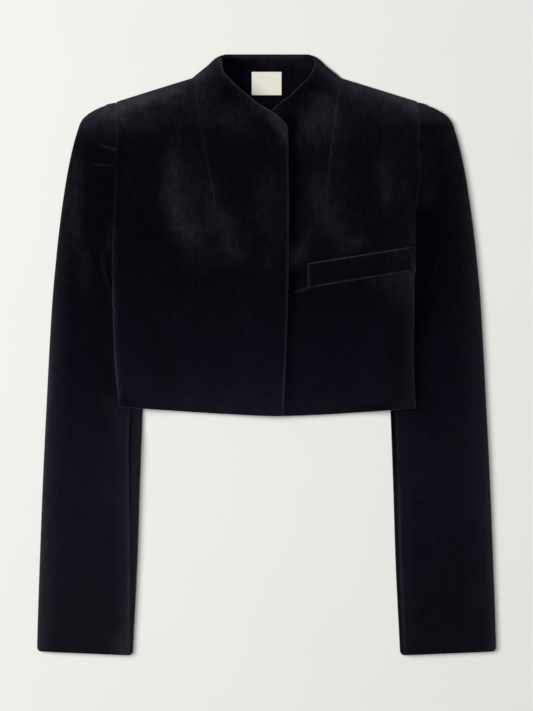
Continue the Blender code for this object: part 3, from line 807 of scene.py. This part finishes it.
SLEEVE_TOP = 64.0
SLEEVE_HEAD = 61.5
HEAD_TILT_END = 80.0
HEAD_CLOSED = 64.4
HEAD_ROUND = 9.0
CUFF_OUTER = 759.0
CUFF_INNER = 764.0
CUFF_CORNER = 5.0
CUFF_SLANTS_FROM = 600.0
ARMHOLE_GAP = 0.45
GAP_WIDENS = (UNDERARM - 11, UNDERARM - 5)
UNDERARM_CLOSES = (UNDERARM - 8, UNDERARM + 12)
GOES_UNDER = (UNDERARM, 300.0)
COMES_OUT = (HEM_LOWEST + 2, 500.0)
TUCKED_LOFT = 3.0
TUCKED_SLOPE = (3.0, 35.0)
ARMHOLE_SLOPE = 0.4
INNER_EDGE = 1.2
OUTER_EDGE = 2.5
OUTER_FOLD = 25.0
OUTER_FOLD_SHARE = 0.6
INNER_FOLD = 10.0
UNDER_FOLD = 5.0
UNDER_FOLD_SHARE = 0.2
BACK_SEAM_INSET = 26.0
BACK_SEAM_SHARE = 0.4
LEAST_WRAP = 0.2
FOLD_POINTS = 14
OVER_POINTS = 60
UNDER_POINTS = 8
FLAT_POINTS = 40
SLEEVE_OUTER = {
    "right": Measured((SHOULDER_END, 192), (66, 208.8), (71, 219.6), (76, 227.6), (81, 233.2), (86, 236.7),
                      (97, 240.7), (116, 246.2), (154, 254.2), (192, 260.1), (230, 264.9),
                      (UNDERARM, 268.8), (306, 272.2), (363, 275.9), (440, 279.9), (541, 284.8),
                      (643, 288.7), (745, 291.9), (CUFF_INNER, 292.3)),
    "left": Measured((SHOULDER_END, 192), (66, 208), (71, 218.5), (76, 226.5), (81, 232), (86, 235.5),
                     (97, 239.5), (116, 245), (154, 253), (192, 259), (230, 264), (UNDERARM, 268),
                     (306, 271.5), (363, 275), (440, 279), (541, 284), (643, 288), (745, 291.5),
                     (CUFF_INNER, 292)),
}
SLEEVE_LOFT = Measured((SHOULDER_END, 1), (66, 3), (76, 5.5), (86, 7), (116, 9), (154, 10), (363, 10),
                       (541, 9), (745, 7.5), (CUFF_INNER, 7.2))
SEAM_WRAP = {
    "right": Measured((UNDERARM, 3), (HEM_LOWEST, 16), (541, 13.5), (643, 8.5), (694, 6),
                      (CUFF_INNER, 3.5)),
    "left": Measured((UNDERARM, 3), (HEM_LOWEST, 5.5), (541, 4.8), (CUFF_INNER, 3.7)),
}
SLEEVE_FOLDS = {
    "right": (
        Stroke(2.2, ((-219, 112, 0), (-208, 115.8, 1.2), (-203, 117.8, 1.6), (-190, 121.6, 1.6))),
        Stroke(2.2, ((-226, 141, 0), (-217, 140.8, 1.2), (-195, 140.5, 1.6))),
        Stroke(14, ((-250, 116, 0), (-245, 150, 1.2), (-242, 225, 1.2), (-232, 264, 0.8), (-226, 300, 0))),
        Stroke(12, ((-206, 145, 0), (-203, 190, -0.8), (-200, 262, 0))),
        Stroke(3.0, ((-206, 248, 0), (-210, 257, 1.2), (-203, 285, 0.8), (-200, 300, 0))),
        Stroke(16, ((-252, 320, 0), (-244, 380, 0.8), (-236, 450, 0))),
        Stroke(20, ((-228, 540, 0), (-224, 630, 0.6), (-220, 720, 0))),
    ),
    "left": (
        Stroke(9, ((230, 112, 0), (218, 170, 1.0), (204, 240, 0))),
        Stroke(4, ((221, 250, 0), (216, 266, 0.8), (205, 300, 0.6), (202, 318, 0))),
        Stroke(12, ((243, 170, 0), (250, 240, 0.8), (255, 320, 0))),
        Stroke(18, ((242, 410, 0), (236, 490, 0.7), (230, 570, 0))),
        Stroke(18, ((220, 600, 0), (224, 660, 0.6), (228, 730, 0))),
    ),
}


def sleeve_seam(side, drop):
    """The front seam, where the under sleeve comes round the inner edge to meet the upper one."""
    return sleeve_inner(side, drop) + SEAM_WRAP[side](drop)


def resampled(stretches, counts):
    """A path of stretches, each with its own count of points spread along it."""
    points = []
    for stretch, count in zip(stretches, counts):
        run = np.concatenate(([0.0], np.cumsum(np.hypot(*np.diff(stretch, axis=0).T))))
        even = spread(0.0, run[-1], count)
        points.append(np.stack([np.interp(even, run, measure) for measure in stretch.T], -1))
    return np.concatenate((points[0], points[1][1:]))


def sleeve_paths(side, drop):
    """The inner face of both pieces at that drop, each as two stretches of distance and height."""
    seam = float(body_edge(side, drop))
    outer = float(SLEEVE_OUTER[side](drop)) - CLOTH
    closed = float(ease(drop, *UNDERARM_CLOSES))
    if drop < UNDERARM:
        inner = seam + ARMHOLE_GAP + (UNDERARM_GAP - ARMHOLE_GAP) * float(ease(drop, *GAP_WIDENS))
    else:
        inner = float(sleeve_inner(side, drop))
    into_corner = max(drop - CUFF_INNER + CUFF_CORNER, 0.0)
    rounded_off = CUFF_CORNER - np.sqrt(CUFF_CORNER ** 2 - into_corner ** 2)
    inner, outer = inner + rounded_off, outer - rounded_off
    width = outer - inner
    fold = min(OUTER_FOLD, OUTER_FOLD_SHARE * width)
    turn = min(UNDER_FOLD, UNDER_FOLD_SHARE * width)
    head_closes = float(rounding(drop - HEAD_CLOSED, HEAD_ROUND))
    loft = float(SLEEVE_LOFT(drop)) * head_closes
    opening = float(armhole_loft(drop)) * head_closes
    tucked = ease(drop, *GOES_UNDER) * (1 - ease(drop, *COMES_OUT))
    turned_up = min(1.0, width / OUTER_FOLD)

    def hollow(x):
        into_armhole = opening + (loft - opening) * ease(x, inner, inner + ARMHOLE_SLOPE * width)
        under_body = 1 - ease(x - seam, *TUCKED_SLOPE)
        tube = loft + (TUCKED_LOFT - loft) * tucked * under_body
        return into_armhole + (tube - into_armhole) * closed

    def edge_height(x):
        return (INNER_EDGE + (OUTER_EDGE - INNER_EDGE) * (x - inner) / width) * turned_up

    def above(x):
        inner_roll = 1 - closed * (1 - rounding(x - inner, INNER_FOLD))
        level = rounding(outer - x, fold) * inner_roll
        return CLOTH + edge_height(x) + (hollow(x) - edge_height(x)) * level

    def below(x):
        inner_roll = 1 - closed * (1 - rounding(x - inner, UNDER_FOLD))
        level = rounding(outer - x, turn) * inner_roll
        return CLOTH + edge_height(x) * (1 - level)

    wrap = float(SEAM_WRAP[side](drop)) * closed
    inset = min(BACK_SEAM_INSET, BACK_SEAM_SHARE * width)
    angles = np.linspace(0, np.pi / 2, FOLD_POINTS)
    turns = np.sin(angles)
    over = np.concatenate((np.linspace(inner + wrap, outer - fold, OVER_POINTS)[:-1],
                           outer - fold + fold * turns))
    under = np.concatenate((outer - turn + turn * turns[::-1],
                            np.linspace(outer - turn, outer - inset, UNDER_POINTS)[1:]))
    upper = (np.stack((over, above(over)), -1), np.stack((under, below(under)), -1))
    flat = np.linspace(outer - inset - SEAM_GAP, inner + UNDER_FOLD, FLAT_POINTS)
    curl = inner + UNDER_FOLD - UNDER_FOLD * turns
    curl = np.stack((curl, below(curl)), -1)
    if closed > 0:
        back_over = inner + max(wrap - SEAM_GAP, LEAST_WRAP) * (1 - np.cos(angles))[1:]
        curl = np.concatenate((curl, np.stack((back_over, above(back_over)), -1)))
    return upper, (np.stack((flat, below(flat)), -1), curl)


def sleeve_piece(name, side, drops, paths, counts):
    """A sleeve piece's wall: the inner face from its paths, and the outer face a cloth's width out."""
    sign = SIDES[side]
    paths = np.stack([resampled(path, counts) for path in paths])
    run = np.gradient(paths, axis=1)
    normal = np.stack((-run[..., 1], run[..., 0]), -1)
    normal /= np.linalg.norm(normal, axis=-1, keepdims=True)
    outside = paths + normal * CLOTH
    upward = np.clip(normal[..., 1:], 0, 1) ** 2
    x = sign * outside[..., 0]
    outside = outside + normal * upward * stroked(x, drops, SLEEVE_FOLDS[side])[..., None]
    inner, outer = sleeve_inner(side, drops), SLEEVE_OUTER[side](drops)
    grids = []
    for grid in (outside, paths):
        share = np.clip((grid[..., 0] - inner) / (outer - inner), 0, 1)
        cuff = (CUFF_OUTER - CUFF_INNER) * share * ease(drops, CUFF_SLANTS_FROM, CUFF_INNER)
        head = (SLEEVE_HEAD - SLEEVE_TOP) * (1 - share) * ease(drops, HEAD_TILT_END, SLEEVE_TOP)
        drop = drops + cuff + head
        points = points_at(sign * grid[..., 0], drop, grid[..., 1])
        grids.append(points if sign > 0 else points[:, ::-1])
    return sew(name, grids[0], grids[1], velvet)


# These tables paint light and shade into the sleeves' colour, with the nap: levels down each sleeve, painted
# sheen highlights along the folds and head, painted highlights along the puckers, the underarm fold, the
# outer edges and the seams, and painted shade where a lift or strength is negative.
SLEEVE_LEVEL = {
    "right": Measured((60, 2.0), (75, 1.6), (85, 0.95), (94, 0.58), (105, 0.32), (112, 0.19), (118, 0.14),
                      (140, 0.11), (163, 0.1), (231, 0.107), (262, 0.125), (300, 0.15), (350, 0.19),
                      (391, 0.22), (437, 0.27), (480, 0.33), (530, 0.38), (600, 0.42), (700, 0.46),
                      (CUFF_INNER, 0.46)),
    "left": Measured((60, 1.1), (75, 0.9), (85, 0.5), (94, 0.25), (117, 0.13), (140, 0.09), (163, 0.07),
                     (231, 0.06), (262, 0.09), (300, 0.125), (350, 0.18), (400, 0.21), (437, 0.25),
                     (480, 0.31), (575, 0.34), (620, 0.30), (CUFF_INNER, 0.31)),
}
SLEEVE_STROKES = {
    "right": (
        Stroke(11, ((-250, 116, 0), (-246, 136, 0.32), (-244, 180, 0.33), (-242, 225, 0.28),
                    (-238, 246, 0.27), (-232, 264, 0.25), (-228, 300, 0.12), (-226, 330, 0))),
        Stroke(12, ((-216, 76, 0), (-209, 72, 0.3), (-203, 71, 0.6), (-192, 69, 0.9))),
        Stroke(16, ((-202, 425, 0), (-198, 447, 0.22), (-190, 470, 0.15), (-188, 505, 0.05))),
        Stroke(22, ((-198, 510, 0), (-200, 545, 0.1), (-198, 580, 0.08), (-194, 620, 0))),
        Stroke(9, ((-186, 732, 0), (-185, 746, 0.4), (-185, 764, 0.5))),
    ),
    "left": (
        Stroke(12, ((203, 100, 0), (203, 130, 0.1), (203, 180, 0.12), (203, 205, 0))),
        Stroke(10, ((207, 74, -0.1), (209, 90, -0.2), (211, 106, 0))),
        Stroke(9, ((224, 78, 0.1), (230, 94, 0.2), (236, 112, 0))),
    ),
}
SLEEVE_LINES = {
    "right": (
        Stroke(1.8, ((-218, 112, 0), (-208, 116, 0.36), (-203, 118.2, 0.62), (-197.8, 119.6, 0.5),
                     (-191, 121.4, 0.5))),
        Stroke(1.8, ((-226, 141, 0), (-217, 140.8, 0.36), (-195, 140.5, 0.3))),
        Stroke(4.5, ((-199, 204, 0), (-199, 224, 0.2), (-200, 242, 0.26), (-202, 254, 0))),
        Stroke(2.4, ((-205, 248, 0), (-210, 256.5, 0.32), (-205, 280, 0.32), (-201, 300, 0.1),
                     (-200, 312, 0))),
        Stroke(3.5, ((-199, 262, 0), (-200, 271, -0.2), (-199, 285, -0.16), (-198, 298, 0))),
    ),
    "left": (
        # A painted shadow where the body's side shades the sleeve.
        Stroke(18, ((193, 185, 0), (196, 215, -0.1), (197, 260, -0.2), (195, 330, -0.18), (193, 390, -0.14),
                    (192, 440, -0.12), (192, 455, 0))),
        Stroke(18, ((200, 430, 0), (208, 450, -0.1), (214, 470, -0.08), (220, 492, 0))),
        Stroke(2.5, ((221, 250, 0), (217, 263, 0.08), (205, 300, 0.08), (202, 315, 0))),
    ),
}
SLEEVE_EDGE_LIGHT_PAINTS = {
    "right": (
        EdgeLightPaint(4.0, lambda drop: -SLEEVE_OUTER["right"](drop),
             Measured((80, 0.2), (110, 0.1), (150, 0.15), (300, 0.5), (350, 0.58), (375, 0.75), (400, 1.4),
                      (490, 1.05), (560, 0.75), (CUFF_INNER, 0.7))),
        EdgeLightPaint(15.0, lambda drop: -SLEEVE_OUTER["right"](drop),
             Measured((80, 0.2), (110, 0.05), (145, 0.06), (200, 0.3), (300, 0.45), (414, 0.6),
                      (764, 0.55))),
        EdgeLightPaint(2.0, lambda drop: -sleeve_seam("right", drop) - 0.2,
             Measured((UNDERARM, 0), (420, 0.15), (480, 0.5), (541, 0.62), (643, 0.7), (CUFF_INNER, 0.7))),
        EdgeLightPaint(8.0, lambda drop: -sleeve_seam("right", drop) - 6,
             Measured((UNDERARM, 0), (420, 0.1), (480, 0.18), (600, 0.22), (CUFF_INNER, 0.3))),
        EdgeLightPaint(1.5, lambda drop: -sleeve_seam("right", drop) + 3.2,
             Measured((UNDERARM, 0), (440, 0), (480, -0.5), (CUFF_INNER, -0.5))),
        EdgeLightPaint(9.0, lambda drop: -sleeve_inner("right", drop) + 1,
             Measured((UNDERARM, 0), (420, 0.2), (480, 0.7), (600, 0.9), (680, 0.8), (CUFF_INNER, 0.85))),
    ),
    "left": (
        EdgeLightPaint(20.0, SLEEVE_OUTER["left"],
             Measured((80, 0.12), (150, 0.3), (300, 0.44), (475, 0.42), (764, 0.28))),
        EdgeLightPaint(6.0, SLEEVE_OUTER["left"],
             Measured((80, 0.1), (150, 0.25), (200, 0.5), (320, 0.5), (450, 0.5), (560, 0.95), (764, 1.1))),
        EdgeLightPaint(1.8, lambda drop: sleeve_seam("left", drop),
             Measured((440, 0), (455, 0.25), (540, 0.45), (600, 0.7), (640, 0.75), (700, 0.6),
                      (CUFF_INNER, 0.35))),
        EdgeLightPaint(3.0, lambda drop: sleeve_seam("left", drop) - 5,
             Measured((440, 0), (465, -0.18), (700, -0.2), (CUFF_INNER, -0.05))),
        EdgeLightPaint(4.5, lambda drop: sleeve_inner("left", drop) - 1,
             Measured((440, 0), (465, -0.14), (540, -0.14), (565, 0))),
        EdgeLightPaint(8.0, lambda drop: sleeve_seam("left", drop) + 8,
             Measured((440, 0), (480, 0.05), (580, 0.14), (650, 0.2), (CUFF_INNER, 0.12))),
    ),
}
SLEEVE_ROWS = np.concatenate((spread(SLEEVE_TOP + 0.6, 105.0, 22), np.arange(106.0, 147.0, 1.0),
                              spread(148.0, 241.0, 44), np.arange(242.0, 303.0, 1.5),
                              spread(304.0, CUFF_INNER - 7, 146),
                              np.arange(CUFF_INNER - 6, CUFF_INNER - 0.5, 1.0)))
SleeveCut = namedtuple("SleeveCut", "path points flat area")
SLEEVE_CUTS = {
    "upper_sleeve": SleeveCut(path=0, points=(66, 20), flat=(0.17, 0.70), area=0.088),
    "under_sleeve": SleeveCut(path=1, points=(28, 30), flat=(0.14, 0.70), area=0.057),
}

for side in SIDES:
    both = [sleeve_paths(side, drop) for drop in SLEEVE_ROWS]
    for kind, cut in SLEEVE_CUTS.items():
        paths = [pair[cut.path] for pair in both]
        piece = sleeve_piece(kind + "_" + side + "_panel", side, SLEEVE_ROWS[:, None], paths, cut.points)
        paint_nap_and_light(piece, SLEEVE_LEVEL[side], SLEEVE_STROKES[side], SLEEVE_EDGE_LIGHT_PAINTS[side], SLEEVE_LINES[side])
        sewn_in(piece, node=kind + "_" + side)
